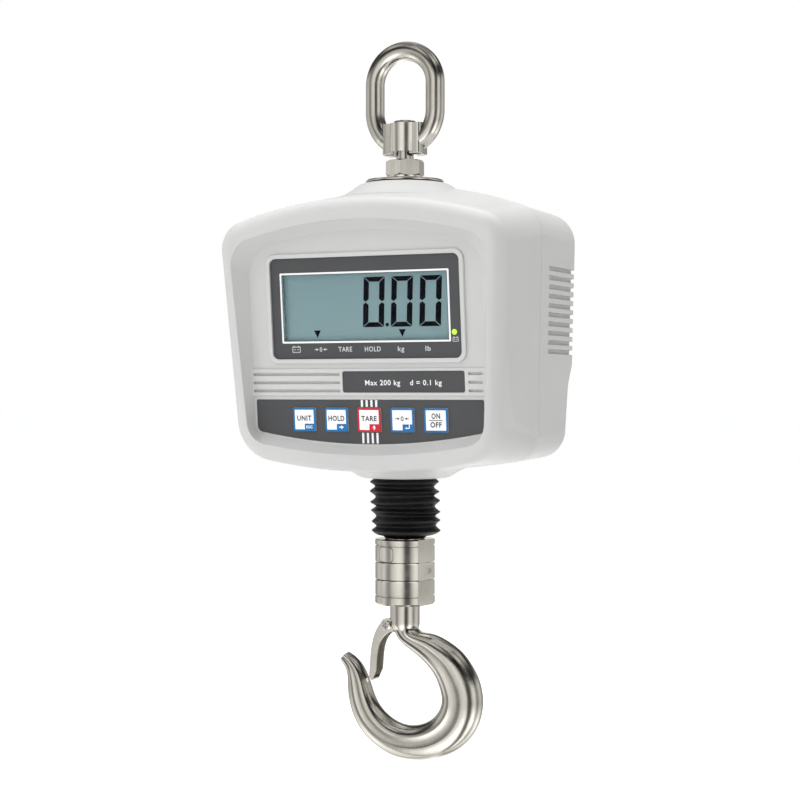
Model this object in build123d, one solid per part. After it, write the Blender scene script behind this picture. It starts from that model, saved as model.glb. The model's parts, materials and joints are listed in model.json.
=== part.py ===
"""Hanging crane scale: swivel ring, housing with display and keys, load cell, bellows, swivel hook.

All lengths are millimetres.  +Z is up, -Y is the display side, and the hook opens towards -X.
Heights in this file are counted from the housing datum, a level just below the middle of the housing.
save() then moves every piece so that the origin is the inner crown of the suspension ring, where the
scale hangs from.
"""
from build123d import *
import os
from math import cos, radians, sin

# --- driving dimensions ------------------------------------------------------------------------------
RING_CROWN = 209.0       # height of the suspension ring's inner crown above the housing datum
FIT = 0.05               # radial clearance of running fits and of threads, which are left plain
WALL = 3.0               # housing wall
PANEL_TILT = 5.2         # the front panel leans forward at its top by this many degrees
PANEL_Y = -54.75         # where the panel's plane crosses the datum level
RIM_DEPTH = 8.5          # how far the rim stands in front of the panel
SEAM_GAP = 0.25          # visible joint line between the two housing halves
REAR_Y = 65.0            # back of the housing

STUD_R = 7.0             # M14 stud
NECK_R = 5.5             # turned neck of the stud, inside the ring's hub
BAR_R = 6.0              # suspension ring's bar
RING_HALF = 20.85        # from the ring's centre plane to its bar's centre line
ROD_R = 6.0              # M12 load rod
PIN_R = 1.6              # cross pin through the load rod
COLLAR_R = 18.9          # coupling under the bellows
SHANK_R = 9.4            # hook shank
MOUND_TOP = 131.0        # top of the round boss on the housing
MOUND_BOTTOM = -54.0     # underside of the round boss below the housing

LATCH_PIVOT = (-10.2, -147.2)   # X and Z of the safety latch's screw
KEY_PITCH = 22.1
KEY_SHIFT = 1.25          # the row of keys stands this far right of the middle
KEY_SIZE = (15.2, 14.3)
KEY_HEIGHT = -16.9       # middle of the row of keys
KEY_TRAVEL = 0.4
FILM_FIELD = (-62.8, 63.9, 20.2, 81.9)   # sunk field for the display film: left, right, low, high
WINDOW = (-54.9, 55.2, 31.2, 71.5)       # opening for the display: left, right, low, high
LED_SPOT = (58.9, 35.5)
PLATE_FIELD = (-15.6, 65.1, -0.3, 12.7)  # sunk field for the capacity plate
KEYS = ["key_unit", "key_hold", "key_tare", "key_zero", "key_power"]

# --- planes and small helpers ------------------------------------------------------------------------
tilt = radians(PANEL_TILT)
PANEL = Plane(origin=(0, PANEL_Y, 0), x_dir=(1, 0, 0), z_dir=(0, -cos(tilt), -sin(tilt)))
SEAM = Plane.XZ


def save(shape, name):
    """Write one piece, moved so that the ring's inner crown is the origin."""
    os.makedirs("parts", exist_ok=True)
    if isinstance(shape, (list, ShapeList)):
        shape = Compound(children=list(shape))
    export_step(Pos(0, 0, -RING_CROWN) * shape, f"parts/{name}.step")


def rod(radius, low, high, x=0.0, y=0.0):
    """Upright cylinder between two heights."""
    return Pos(x, y, low) * Cylinder(radius, high - low, align=(Align.CENTER, Align.CENTER, Align.MIN))


def tube(outer, inner, low, high):
    return rod(outer, low, high) - rod(inner, low - 1, high + 1)


def rod_y(radius, front, back, x=0.0, z=0.0):
    """Cylinder along Y between two depths."""
    return Pos(x, back, z) * Rot(90, 0, 0) * Cylinder(radius, back - front,
                                                      align=(Align.CENTER, Align.CENTER, Align.MIN))


def block(x0, x1, y0, y1, z0, z1):
    return Pos((x0 + x1) / 2, (y0 + y1) / 2, (z0 + z1) / 2) * Box(x1 - x0, y1 - y0, z1 - z0)


def turned(points):
    """Solid of revolution about Z from (radius, height) points."""
    profile = make_face(Polyline([(r, 0, z) for r, z in points] + [(points[0][0], 0, points[0][1])]))
    return revolve(profile, Axis.Z, 360)


def panel_plate(left, right, low, high, back, front, radius):
    """Rounded plate parallel to the front panel; back and front are measured outwards from its face."""
    plate = extrude(RectangleRounded(right - left, high - low, radius), front - back)
    return PANEL.location * Pos((left + right) / 2, (low + high) / 2, back) * plate


def field_plate(field, grow, back, front, radius):
    """Plate over a field of the panel, grown all round by a margin."""
    left, right, low, high = field
    return panel_plate(left - grow, right + grow, low - grow, high + grow, back, front, radius)


def hexagon(flats, low, high, turn=0.0):
    """Hexagonal nut blank with its top and bottom corners turned off."""
    corner = flats / 2 / cos(radians(30))
    blank = Pos(0, 0, low) * Rot(0, 0, turn) * extrude(RegularPolygon(corner, 6), high - low)
    ease = corner - flats / 2
    lathe = turned([(0, low), (flats / 2, low), (corner, low + ease * 0.6), (corner, high - ease * 0.6),
                    (flats / 2, high), (0, high)])
    return blank & lathe


def outline(half_top, half_bottom, top, shoulder, bottom, ankle, top_round, bottom_round, inset=0.0):
    """Housing outline: crowned top and bottom, leaning sides, rounded corners."""
    ht, hb = half_top - inset, half_bottom - inset
    s, a = shoulder - inset, ankle + inset
    face = make_face([
        ThreePointArc((-ht, s), (0, top - inset), (ht, s)),
        Line((ht, s), (hb, a)),
        ThreePointArc((hb, a), (0, bottom + inset), (-hb, a)),
        Line((-hb, a), (-ht, s)),
    ])
    face = fillet(face.vertices().sort_by(Axis.Y)[-2:], top_round - inset)
    return fillet(face.vertices().sort_by(Axis.Y)[:2], bottom_round - inset)


def rim_outline(inset=0.0):
    return outline(96.3, 87.6, 116.8, 100.6, -48.0, -37.4, 18.0, 27.0, inset)


def crest_outline():
    return outline(86.6, 78.6, 104.4, 90.6, -37.6, -29.4, 17.0, 14.0)


def floor_outline(inset=0.0):
    return outline(78.2, 77.4, 97.7, 87.0, -32.8, -24.6, 19.0, 5.5, inset)


def seam_outline(inset=0.0):
    return outline(92.4, 89.3, 129.2, 109.0, -49.0, -40.6, 20.0, 17.0, inset)


def rear_outline(inset=0.0):
    return outline(93.2, 89.4, 127.2, 107.5, -47.0, -38.6, 20.0, 18.0, inset)


# --- housing -----------------------------------------------------------------------------------------
def front_blank():
    """Closed outer form of the front half, with its rounded rim and dished front."""
    body = loft([PANEL.offset(RIM_DEPTH) * rim_outline(), SEAM * seam_outline()])
    front = body.faces().sort_by(Axis.Y)[0]
    body = fillet(front.edges(), 8.6)
    dish = loft([PANEL.offset(RIM_DEPTH + 0.01) * crest_outline(), PANEL * floor_outline()])
    return body - dish


def rear_blank(inset=0.0, ease=9.0):
    """Closed outer form of the rear half: straight back, lower part set in, rounded rear edges."""
    back_y = REAR_Y - inset
    body = loft([SEAM.offset(-SEAM_GAP) * seam_outline(inset), SEAM.offset(-back_y) * rear_outline(inset)])
    step = [(back_y, 16), (back_y - 6.5, 3.5), (back_y - 10.5, -34), (REAR_Y - 20, -60),
            (REAR_Y + 20, -60), (REAR_Y + 20, 16), (back_y, 16)]
    body -= extrude(Plane.YZ * make_face(Polyline(step)), 120, both=True)
    creases = body.edges().filter_by(lambda e: is_rear_edge(e) and is_crease(e))
    body = fillet(creases, 12.0)
    return fillet(body.edges().filter_by(lambda e: is_rear_edge(e) and not is_crease(e)), ease)


def is_rear_edge(edge):
    return edge.bounding_box().min.Y > REAR_Y - 17


def is_crease(edge):
    """True for the straight folds that run from side to side between the bottom and the flat back."""
    box = edge.bounding_box().size
    return box.X > 140 and box.Z < 1 and edge.center().Z > -36


def mounds(inset=0.0):
    """Round bosses around the load line, above and below; their flanks run out into the housing's skin."""
    top, low = MOUND_TOP - inset, MOUND_BOTTOM + inset
    upper = [(25.5, top), (29.0, top - 1.0), (33.0, top - 3.8), (38.0, top - 7.0), (45.0, top - 9.8)]
    lower = [(25.0, low), (28.5, low + 0.9), (32.5, low + 3.2), (38.0, low + 5.9), (45.0, low + 7.6)]
    return boss(upper, 100.0, inset) + boss(lower, -30.0, inset)


def boss(flank, foot, inset):
    """Turned solid with a flat end and a curved flank; foot is the height of its hidden end."""
    flank = [(radius - inset, 0, z) for radius, z in flank]
    outer, end = flank[-1], flank[0]
    profile = make_face([
        Spline(*flank),
        Line(outer, (outer[0], 0, foot)),
        Line((outer[0], 0, foot), (0, 0, foot)),
        Line((0, 0, foot), (0, 0, end[2])),
        Line((0, 0, end[2]), end),
    ])
    return revolve(profile, Axis.Z, 360)


FRONT_HALF = block(-150, 150, -100, 0, -100, 200)
REAR_HALF = block(-150, 150, SEAM_GAP, 100, -100, 200)
SCREW_SPOTS = [(-79, 87), (79, 87), (-76, -26), (76, -26)]
SCREW_HEAD_Y = 44.0


def load_line_holes():
    return rod(STUD_R + 0.5, 110, 140) + rod(14.2, -60, -40)


def front_shell():
    blank = front_blank()
    outer = blank + (mounds() & FRONT_HALF)
    hollow = loft([PANEL.offset(-WALL) * rim_outline(WALL + 0.6), SEAM * seam_outline(WALL)])
    hollow = hollow + (mounds(WALL) & FRONT_HALF)
    shell = outer - hollow
    for x, z in SCREW_SPOTS:
        shell += rod_y(4.5, -75, -0.3, x, z) & blank
        shell -= rod_y(2.0 + FIT, -14, 1, x, z)
    shell += display_frame() + rib_band()
    shell -= field_plate(FILM_FIELD, 0.0, -0.6, 5, 4.0)
    shell -= field_plate(WINDOW, 1.4, -5, 0, 1.5)
    shell -= panel_plate(56.0, 64.2, 33.2, 37.8, -5, -0.6, 2.0)
    shell -= field_plate(PLATE_FIELD, 0.0, -0.1, 5, 1.5)
    shell -= keypad_form(-0.6, 5, 0.0)
    for x in key_places():
        shell -= panel_plate(x - 7.2, x + 7.2, KEY_HEIGHT - 6.8, KEY_HEIGHT + 6.8, -5, 0, 1.0)
    shell -= rib_grooves()
    return shell - load_line_holes()


def rod_panel(radius, back, front, x, z):
    """Cylinder standing square to the front panel."""
    pin = Cylinder(radius, front - back, align=(Align.CENTER, Align.CENTER, Align.MIN))
    return PANEL.location * Pos(x, z, back) * pin


def display_frame():
    """Raised bead around the display film."""
    bead = field_plate(FILM_FIELD, 2.8, -0.5, 1.3, 6.5)
    bead = chamfer(bead.faces().sort_by(Axis.Y)[0].edges(), 0.5)
    return bead - field_plate(FILM_FIELD, 0.0, -1, 5, 4.0)


def rib_band():
    """Raised band between display and keypad; it runs into the rim on both sides."""
    band = panel_plate(-80, 79.6, -2.4, 14.4, -0.5, 1.0, 1.0)
    return chamfer(band.faces().sort_by(Axis.Y)[0].edges(), 0.4)


def rib_grooves():
    """Three parallel grooves at each end of the band."""
    cuts = []
    for z in (10.9, 5.8, 0.8):
        for left, right in ((-77.5, -17.2), (67.3, 76.5)):
            cuts.append(panel_plate(left, right, z - 0.85, z + 0.85, -0.4, 5, 0.84))
    return Compound(children=cuts)


def keypad_form(back, front, inset):
    """Keypad area: straight top edge, crowned bottom edge."""
    half, top, corner, bottom = 76.5 - inset, -4.6 - inset, -24.2 + inset, -31.8 + inset
    face = make_face([Line((-half, top), (half, top)), Line((half, top), (half, corner)),
                      ThreePointArc((half, corner), (0, bottom), (-half, corner)),
                      Line((-half, corner), (-half, top))])
    face = fillet(face.vertices().sort_by(Axis.Y)[:2], 4.0)
    face = fillet(face.vertices().sort_by(Axis.Y)[-2:], 1.2)
    return PANEL.location * Pos(0, 0, back) * extrude(face, front - back)


def key_places():
    return [KEY_SHIFT + KEY_PITCH * (i - 2) for i in range(len(KEYS))]


def side_grooves():
    """Ten finger grooves on each side of the rear half, wrapping its rear corner."""
    core = rear_blank(2.0, 7.0)
    cuts = []
    for side in (-1, 1):
        for i in range(10):
            z = 25.1 + 5.7 * i
            x0, x1 = sorted((side * 76, side * 100))
            cuts.append(block(x0, x1, 14, 80, z - 1.4, z + 1.4) - core)
    return cuts


DOOR = (-34.0, 34.0, 22.0, 70.0)      # battery door: left, right, low, high
CELL_R, CELL_LENGTH = 7.2, 52.0       # battery cells
SOCKET = (52.0, -12.0)                # charging socket: X and Z
SOCKET_Y = 58.4                       # outer face of the socket's flange


def rear_shell():
    outer = rear_blank() + (mounds() & REAR_HALF)
    hollow = rear_blank(WALL, 6.5) + (mounds(WALL) & REAR_HALF)
    hollow += loft([
        SEAM.offset(-SEAM_GAP + 0.5) * seam_outline(WALL),
        SEAM.offset(-4) * seam_outline(WALL + 0.1),
    ])
    shell = outer - hollow
    blank = rear_blank()
    for x, z in SCREW_SPOTS:
        shell += rod_y(6.3, 16, 64, x, z) & blank
        shell -= rod_y(4.4, SCREW_HEAD_Y - 0.05, 80, x, z)
        shell -= rod_y(2.2, 0, 80, x, z)
    for cut in side_grooves():
        shell -= cut
    left, right, low, high = DOOR
    shell -= block(left, right, REAR_Y - 2.6, REAR_Y + 1, low, high)
    shell -= block(left + 6, right - 6, REAR_Y - 6, REAR_Y + 1, low + 3, high - 3)
    for x in (left + 3, right - 3):
        shell += rod_y(3.0, REAR_Y - 10, REAR_Y - 2.6, x, (low + high) / 2)
        shell -= rod_y(1.25 + FIT, REAR_Y - 9, REAR_Y, x, (low + high) / 2)
    shell -= rod_y(4.0 + FIT, 40, 80, *SOCKET)
    shell -= rod_y(6.2, SOCKET_Y - 1.2, 80, *SOCKET)
    shell -= gasket()
    return shell - load_line_holes()


def gasket():
    """Seal strip in a groove of the rear half's edge."""
    strip = extrude(SEAM.offset(-SEAM_GAP) * (seam_outline(1.0) - seam_outline(2.0)), -1.2)
    return strip - block(-38, 38, -5, 5, -60, 200)


def shell_screws():
    screws = []
    for x, z in SCREW_SPOTS:
        screw = rod_y(2.0, -13, SCREW_HEAD_Y, x, z) + rod_y(3.8, SCREW_HEAD_Y, SCREW_HEAD_Y + 2.6, x, z)
        slot = block(x - 2.2, x + 2.2, SCREW_HEAD_Y + 1.4, SCREW_HEAD_Y + 3, z - 0.45, z + 0.45)
        screws.append(screw - slot - Pos(x, 0, z) * Rot(0, 90, 0) * Pos(-x, 0, -z) * slot)
    return screws


def battery_door():
    left, right, low, high = DOOR
    door = block(left + 0.25, right - 0.25, REAR_Y - 2.55, REAR_Y - 0.1, low + 0.25, high - 0.25)
    door = fillet(door.edges().filter_by(Axis.Y), 2.0)
    for i in range(5):
        z = low + 12 + 6 * i
        door -= block(left + 14, right - 14, REAR_Y - 0.9, REAR_Y + 1, z - 0.8, z + 0.8)
    for x in (left + 3, right - 3):
        door -= rod_y(1.4, 50, 70, x, (low + high) / 2)
        door -= rod_y(2.6, REAR_Y - 1.3, 70, x, (low + high) / 2)
    return door


def door_screws():
    left, right, low, high = DOOR
    screws = []
    for x in (left + 3, right - 3):
        z = (low + high) / 2
        screw = rod_y(1.25, REAR_Y - 8, REAR_Y - 1.25, x, z) + rod_y(2.4, REAR_Y - 1.25, REAR_Y - 0.3, x, z)
        screws.append(screw - block(x - 1.8, x + 1.8, REAR_Y - 0.8, REAR_Y + 1, z - 0.3, z + 0.3))
    return screws


def battery_pack():
    """Six round cells in a sleeve, behind the door."""
    cells = []
    pitch = 14.6
    for row in range(2):
        for column in range(3):
            y = REAR_Y - 12 - pitch * row
            z = 33 + pitch * column
            cell = Cylinder(CELL_R, CELL_LENGTH, align=(Align.CENTER, Align.CENTER, Align.MIN))
            cells.append(Pos(-26.2, y, z) * Rot(0, 90, 0) * cell)
    return cells


def charge_socket():
    """Round low-voltage inlet with a centre pin."""
    x, z = SOCKET
    socket = rod_y(6.0, SOCKET_Y - 1.1, SOCKET_Y, x, z) + rod_y(4.0, SOCKET_Y - 12, SOCKET_Y, x, z)
    socket -= rod_y(2.75, SOCKET_Y - 10, SOCKET_Y + 1, x, z)
    return socket + rod_y(1.0, SOCKET_Y - 11, SOCKET_Y - 1, x, z)


def socket_nut():
    x, z = SOCKET
    nut = Pos(x, SOCKET_Y - 9.6, z) * Rot(90, 0, 0) * extrude(RegularPolygon(6.4, 6), 2.2)
    return nut - rod_y(4.0 + FIT, 30, 80, x, z)


# --- display and keys --------------------------------------------------------------------------------
def display_overlay():
    sheet = field_plate(FILM_FIELD, -0.1, -0.55, -0.1, 3.9)
    return sheet - field_plate(WINDOW, 0.0, -5, 5, 1.0) - rod_panel(1.75, -5, 5, *LED_SPOT)


def display_window():
    return field_plate(WINDOW, -0.05, -1.6, -0.15, 0.95)


def lcd_glass():
    return panel_plate(-58.5, 58.8, 27.5, 75.3, -5.9, -WALL - 0.1, 1.0)


def lcd_backlight():
    return panel_plate(-60.0, 60.3, 26.0, 76.8, -9.4, -6.0, 1.0)


def display_board():
    return panel_plate(-66.0, 66.3, 22.0, 82.0, -11.1, -9.5, 1.5)


def status_led():
    x, z = LED_SPOT
    lens = rod_panel(1.65, -2.6, -0.35, x, z)
    body = rod_panel(1.95, -5.6, -2.6, x + 3.0, z)
    return lens + body + rod_panel(1.4, -3.4, -2.4, x + 1.5, z)


def capacity_plate():
    return field_plate(PLATE_FIELD, -0.1, -0.05, 0.65, 1.4)


def keypad_overlay():
    film = keypad_form(-0.55, -0.1, 0.15)
    for x in key_places():
        film -= panel_plate(x - 7.9, x + 7.9, KEY_HEIGHT - 7.45, KEY_HEIGHT + 7.45, -5, 5, 1.3)
    return film


def key_cap(x):
    """Flat key with a plunger that reaches through the panel to its switch."""
    width, height = KEY_SIZE
    cap = panel_plate(x - width / 2, x + width / 2, KEY_HEIGHT - height / 2, KEY_HEIGHT + height / 2,
                      -0.15, 0.85, 1.0)
    cap = chamfer(cap.faces().sort_by(Axis.Y)[0].edges(), 0.25)
    return cap + panel_plate(x - 5.0, x + 5.0, KEY_HEIGHT - 4.6, KEY_HEIGHT + 4.6, -4.4, -0.1, 0.8)


def keypad_board():
    return panel_plate(-60, 60, -30.0, -4.5, -10.6, -9.0, 1.5)


def key_switches():
    """One tactile switch behind each key."""
    switches = []
    for x in key_places():
        body = panel_plate(x - 3, x + 3, KEY_HEIGHT - 3, KEY_HEIGHT + 3, -8.9, -5.6, 0.5)
        switches.append(body + rod_panel(1.7, -5.7, -4.4 - KEY_TRAVEL - 0.1, x, KEY_HEIGHT))
    return switches


def board_spacers():
    """Pillars that carry the main board behind the display board."""
    spacers = []
    for x in (-62, 62):
        for z in (28, 76):
            spacers.append(rod_panel(2.5, -21.0, -11.2, x, z))
    return spacers


def main_board():
    return panel_plate(-66, 66, 24, 80, -22.7, -21.1, 1.5)


def board_parts():
    """Chips and connectors on the back of the main board."""
    sizes = [(-30, 60, 14, 14, 1.6), (-5, 62, 10, 6, 1.8), (25, 60, 18, 7, 6.0), (-40, 36, 12, 6, 5.0),
             (10, 34, 9, 9, 2.2), (42, 36, 8, 8, 7.0)]
    return [panel_plate(x - w / 2, x + w / 2, z - h / 2, z + h / 2, -22.8 - t, -22.8, 0.4)
            for x, z, w, h, t in sizes]


def buzzer():
    return rod_panel(6.0, -30.0, -22.8, 50, 60)


def ribbon_cable():
    """Flat cable from the keypad board up to the display board."""
    run = panel_plate(-12, 12, -8.0, 30.0, -12.2, -11.7, 0.2)
    lower = panel_plate(-12, 12, -10.0, -7.5, -12.2, -10.7, 0.2)
    upper = panel_plate(-12, 12, 29.0, 32.0, -12.2, -11.2, 0.2)
    return run + lower + upper


# --- load line ---------------------------------------------------------------------------------------
HUB_LOW, HUB_HIGH, HUB_R = 149.0, 169.0, 9.9
ARM_FOOT = (9.0, 157.0)


def suspension_ring():
    """Forged ring whose two arms close onto a bored hub."""
    bend = RING_CROWN + BAR_R - RING_HALF
    elbow = 177.0
    left_arm = TangentArc((-RING_HALF, 0, elbow), (-ARM_FOOT[0], 0, ARM_FOOT[1]), tangent=(0, 0, -1))
    right_arm = TangentArc((RING_HALF, 0, elbow), (ARM_FOOT[0], 0, ARM_FOOT[1]), tangent=(0, 0, -1))
    left = Line((-RING_HALF, 0, elbow), (-RING_HALF, 0, bend))
    crown = ThreePointArc((-RING_HALF, 0, bend), (0, 0, bend + RING_HALF), (RING_HALF, 0, bend))
    right = Line((RING_HALF, 0, bend), (RING_HALF, 0, elbow))
    path = Wire([left_arm, left, crown, right, right_arm])
    bar = sweep(Plane(origin=path @ 0, z_dir=path % 0) * Circle(BAR_R), path=path)
    feet = block(-13.6, 13.6, -6.2, 6.2, HUB_LOW, HUB_HIGH)
    feet = fillet(feet.edges().filter_by(Axis.Z), 2.8)
    feet = fillet(feet.faces().sort_by(Axis.Z)[0].edges(), 1.4)
    ring = bar + feet - rod(HUB_R - 1.5, HUB_LOW - 5, HUB_LOW + 2.2)
    ring += rod(HUB_R, HUB_LOW + 2.2, HUB_HIGH)
    ring -= rod(NECK_R + FIT, HUB_LOW - 5, HUB_HIGH + 20)
    ring -= rod(8.4, HUB_HIGH - 3.0, HUB_HIGH + 9)
    return ring


def swivel_washer():
    return tube(8.2, NECK_R + FIT, HUB_HIGH - 3.0, HUB_HIGH - 2.0)


def retaining_cap():
    """Domed round nut that holds the ring on the stud."""
    low = HUB_HIGH - 1.9
    cap = turned([(0, low), (7.9, low), (7.9, low + 2.2), (6.6, low + 3.6), (3.0, low + 4.3),
                  (0, low + 4.4)])
    return cap - rod(4.0 + FIT, low - 1, low + 3.2)


def swivel_stud():
    low = HUB_HIGH - 1.9
    return turned([(0, 58), (STUD_R, 58), (STUD_R, 145.8), (NECK_R, 145.9), (NECK_R, low - 0.05),
                   (4.0, low), (4.0, low + 3.1), (0, low + 3.1)])


def lock_nut():
    return hexagon(21.6, 136.0, 145.9, -21.0) - rod(STUD_R + FIT, 130, 150)


def lock_washer():
    return tube(11.3, STUD_R + FIT, 133.4, 135.95)


def cover_plate():
    bore = STUD_R + 0.1
    return turned([(bore, 131.9), (24.8, 131.9), (24.8, 132.5), (24.2, 133.3), (bore, 133.3)])


def top_seal():
    return tube(23.0, STUD_R + 0.1, 131.05, 131.85)


CELL_TOP, CELL_LOW = 70.0, 12.0


def spacer_tube():
    """Carries the housing's top on the load cell."""
    return tube(12.0, STUD_R + 0.1, CELL_TOP + 0.1, MOUND_TOP - WALL - 0.1)


def load_cell():
    """S-shaped beam: two slots from opposite sides leave a sensing web in the middle."""
    cell = block(-25, 25, -9.5, 9.5, CELL_LOW, CELL_TOP)
    middle = (CELL_TOP + CELL_LOW) / 2
    cell -= block(-30, 14, -20, 20, middle + 13, middle + 16)
    cell -= block(-14, 30, -20, 20, middle - 16, middle - 13)
    cell -= rod_y(7.0, -20, 20, -7.2, middle) + rod_y(7.0, -20, 20, 7.2, middle)
    cell -= block(-7.2, 7.2, -20, 20, middle - 4, middle + 4)
    cell = chamfer(cell.edges().filter_by(Axis.Y).group_by(Axis.Z)[0], 1.5)
    cell -= rod(STUD_R + FIT, 57.9, 80)
    return cell - rod(ROD_R + FIT, 0, 24.1)


def cell_cable():
    """Lead from the load cell's side to the main board."""
    points = [(25.0, 0, 40), (32, 0, 40), (36, -8, 44), (36, -18, 50), (30, -22.0, 54)]
    path = FilletPolyline(*points, radius=3.0)
    return sweep(Plane(origin=path @ 0, z_dir=path % 0) * Circle(1.6), path=path)


def load_rod():
    return rod(ROD_R, -105.0, 24.0) - cross_pin_form(PIN_R + FIT, 12)


def rod_nut():
    return hexagon(18.8, 1.8, 11.9, 10.0) - rod(ROD_R + FIT, -5, 20)


BELLOWS_TOP, BELLOWS_LOW, PLEATS = -54.05, -90.3, 6


def bellows():
    """Pleated rubber boot: grommet neck in the housing, six pleats, cuff on the coupling's spigot."""
    crest_r, root_r, wall, cuff_r, spigot_r = 22.0, 18.6, 1.4, 13.1, 11.5
    pitch = (BELLOWS_TOP - BELLOWS_LOW) / (PLEATS - 0.1)
    outside, inside = [(20.8, BELLOWS_TOP)], []
    for i in range(PLEATS):
        z = BELLOWS_TOP - pitch * (i + 0.36)
        outside += [(crest_r - 0.8, z + 1.1), (crest_r, z + 0.4), (crest_r, z - 0.4),
                    (crest_r - 0.8, z - 1.1), (root_r, z - pitch / 2)]
        inside += [(crest_r - wall, z), (root_r - wall, z - pitch / 2)]
    cuff = [(cuff_r, BELLOWS_LOW), (cuff_r, -92.2), (spigot_r, -92.2), (spigot_r, BELLOWS_LOW + 0.9)]
    neck = [(12.6, BELLOWS_TOP - 1.3), (12.6, -49.4), (16.5, -49.4), (16.5, -50.85), (14.0, -50.95),
            (14.0, BELLOWS_TOP)]
    return turned(outside + cuff + inside[::-1] + neck)


FACET = (16.0, -8.0)                      # flat ground on the coupling: distance from the axis, direction
JOINT_HIGH, JOINT_LOW = -106.8, -117.8    # where the coupling's three sections meet
GROOVE = 0.75                             # depth of the turned grooves
SCREW_Z = -112.2                          # height of the lock ring's set screw


def with_facet(shape):
    distance, angle = FACET
    return shape - Rot(0, 0, angle) * block(distance, distance + 20, -30, 30, -200, -50)


def coupling_sleeve():
    """Upper section: spigot for the bellows, thread for the load rod, pocket for the keeper plate."""
    r = COLLAR_R
    skin = r - 0.1
    body = turned([(0, -88.6), (11.3, -88.6), (11.3, -92.3), (r - 0.5, -92.3), (r, -92.8), (r, -95.6),
                   (r - GROOVE, -95.9), (r - GROOVE, -96.4), (skin, -96.7), (skin, JOINT_HIGH + 0.6),
                   (r - GROOVE, JOINT_HIGH + 0.15), (15.2, JOINT_HIGH + 0.15), (15.2, -98.4), (0, -98.4)])
    body = with_facet(body) - rod(ROD_R + FIT, -120, -80)
    body -= keeper_form(0.3)
    return body - cross_pin_form(PIN_R + FIT, 12)


def keeper_form(slack):
    """Rounded key let into the sleeve's skin, square to its own direction."""
    pad = extrude(RectangleRounded(11.0 + 2 * slack, 8.6 + 2 * slack, 2.2), 3)
    skin = rod(COLLAR_R - 0.1 + slack / 3, -120, -90) - rod(COLLAR_R - 1.4 - slack, -120, -90)
    face = Plane(origin=(0, 0, -101.5), x_dir=(0, 1, 0), z_dir=(1, 0, 0))
    return Rot(0, 0, -106) * (face.location * Pos(0, 0, COLLAR_R - 2.8) * pad) & skin


def keeper_plate():
    return keeper_form(0.0)


def cross_pin_form(radius, half):
    return Pos(-half, 0, -90.4) * Rot(0, 90, 0) * Cylinder(radius, 2 * half,
                                                           align=(Align.CENTER, Align.CENTER, Align.MIN))


def cross_pin():
    """Locks the sleeve to the load rod, under the bellows' cuff."""
    return cross_pin_form(PIN_R, 11.0)


def lock_ring():
    """Middle section: a threaded ring held by a set screw."""
    r, high, low = COLLAR_R, JOINT_HIGH - 0.15, JOINT_LOW + 0.15
    ring = turned([(15.2, high), (r - GROOVE, high), (r - 0.1, high - 0.45), (r - 0.1, low + 0.45),
                   (r - GROOVE, low), (15.2, low)])
    return with_facet(ring) - set_screw_form(1.5 + FIT, 30)


def set_screw_form(radius, outer):
    """Radial screw that starts just outside the thread and ends at the given distance from the axis."""
    pin = Cylinder(radius, outer - 15.3, align=(Align.CENTER, Align.CENTER, Align.MIN))
    return Rot(0, 0, FACET[1]) * Pos(15.3, 3.4, SCREW_Z) * Rot(0, 90, 0) * pin


def set_screw():
    return set_screw_form(1.2, FACET[0] - 0.1)


CUP_FLOOR = -129.5
BALL_R, BALL_PITCH_R, BALL_Z = 1.9, 9.4, -125.4


def bearing_cup():
    """Lower section: holds the thrust bearing, and screws up into the lock ring and the sleeve."""
    r, high, bore = COLLAR_R, JOINT_LOW - 0.15, SHANK_R + 0.4
    cup = turned([(bore, CUP_FLOOR), (bore, -133.5), (r - 1.4, -133.5), (r, -132.3), (r, -128.3),
                  (r - GROOVE, -128.0), (r - GROOVE, -127.5), (r - 0.1, -127.2), (r - 0.1, high - 0.45),
                  (r - GROOVE, high), (15.0, high), (15.0, -98.7), (13.3, -98.7), (13.3, CUP_FLOOR)])
    return with_facet(cup)


def race(low, high, bore):
    groove = Pos(0, 0, BALL_Z) * Torus(BALL_PITCH_R, BALL_R + FIT)
    return tube(12.9, bore, low, high) - groove


def bearing_balls():
    return [Rot(0, 0, 30 * i) * Pos(BALL_PITCH_R, 0, BALL_Z) * Sphere(BALL_R) for i in range(12)]


# --- hook --------------------------------------------------------------------------------------------
# Sections of the hook from the shank to the tip: inner edge X and Z, outer edge X and Z, half thickness.
HOOK_STATIONS = [
    (-7.4, -143.0, 7.4, -142.5, 7.6), (-5.4, -150.5, 8.8, -149.4, 8.4),
    (-1.4, -157.2, 12.4, -151.0, 8.8), (5.4, -162.3, 18.4, -151.6, 8.9),
    (12.2, -167.1, 25.4, -153.8, 9.1), (18.0, -172.4, 33.2, -157.9, 9.3),
    (22.6, -178.7, 41.0, -164.2, 9.4), (25.4, -185.8, 47.8, -173.6, 9.4),
    (26.4, -192.6, 52.4, -187.0, 9.4), (24.9, -197.6, 50.4, -205.2, 9.4),
    (21.1, -202.8, 38.6, -221.3, 9.3), (13.7, -207.6, 21.7, -229.8, 9.2),
    (4.9, -209.8, 5.1, -231.8, 9.0), (-3.9, -208.9, -10.5, -228.9, 8.6),
    (-11.6, -205.2, -23.6, -221.2, 8.1), (-17.8, -199.6, -33.2, -210.4, 7.6),
    (-22.2, -192.2, -38.2, -197.8, 7.0), (-25.6, -183.2, -39.6, -186.8, 6.4),
    (-29.3, -175.8, -39.9, -180.6, 5.8), (-34.5, -169.9, -41.5, -175.9, 5.2),
    (-40.1, -166.5, -44.7, -171.9, 4.6),
]


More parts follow.
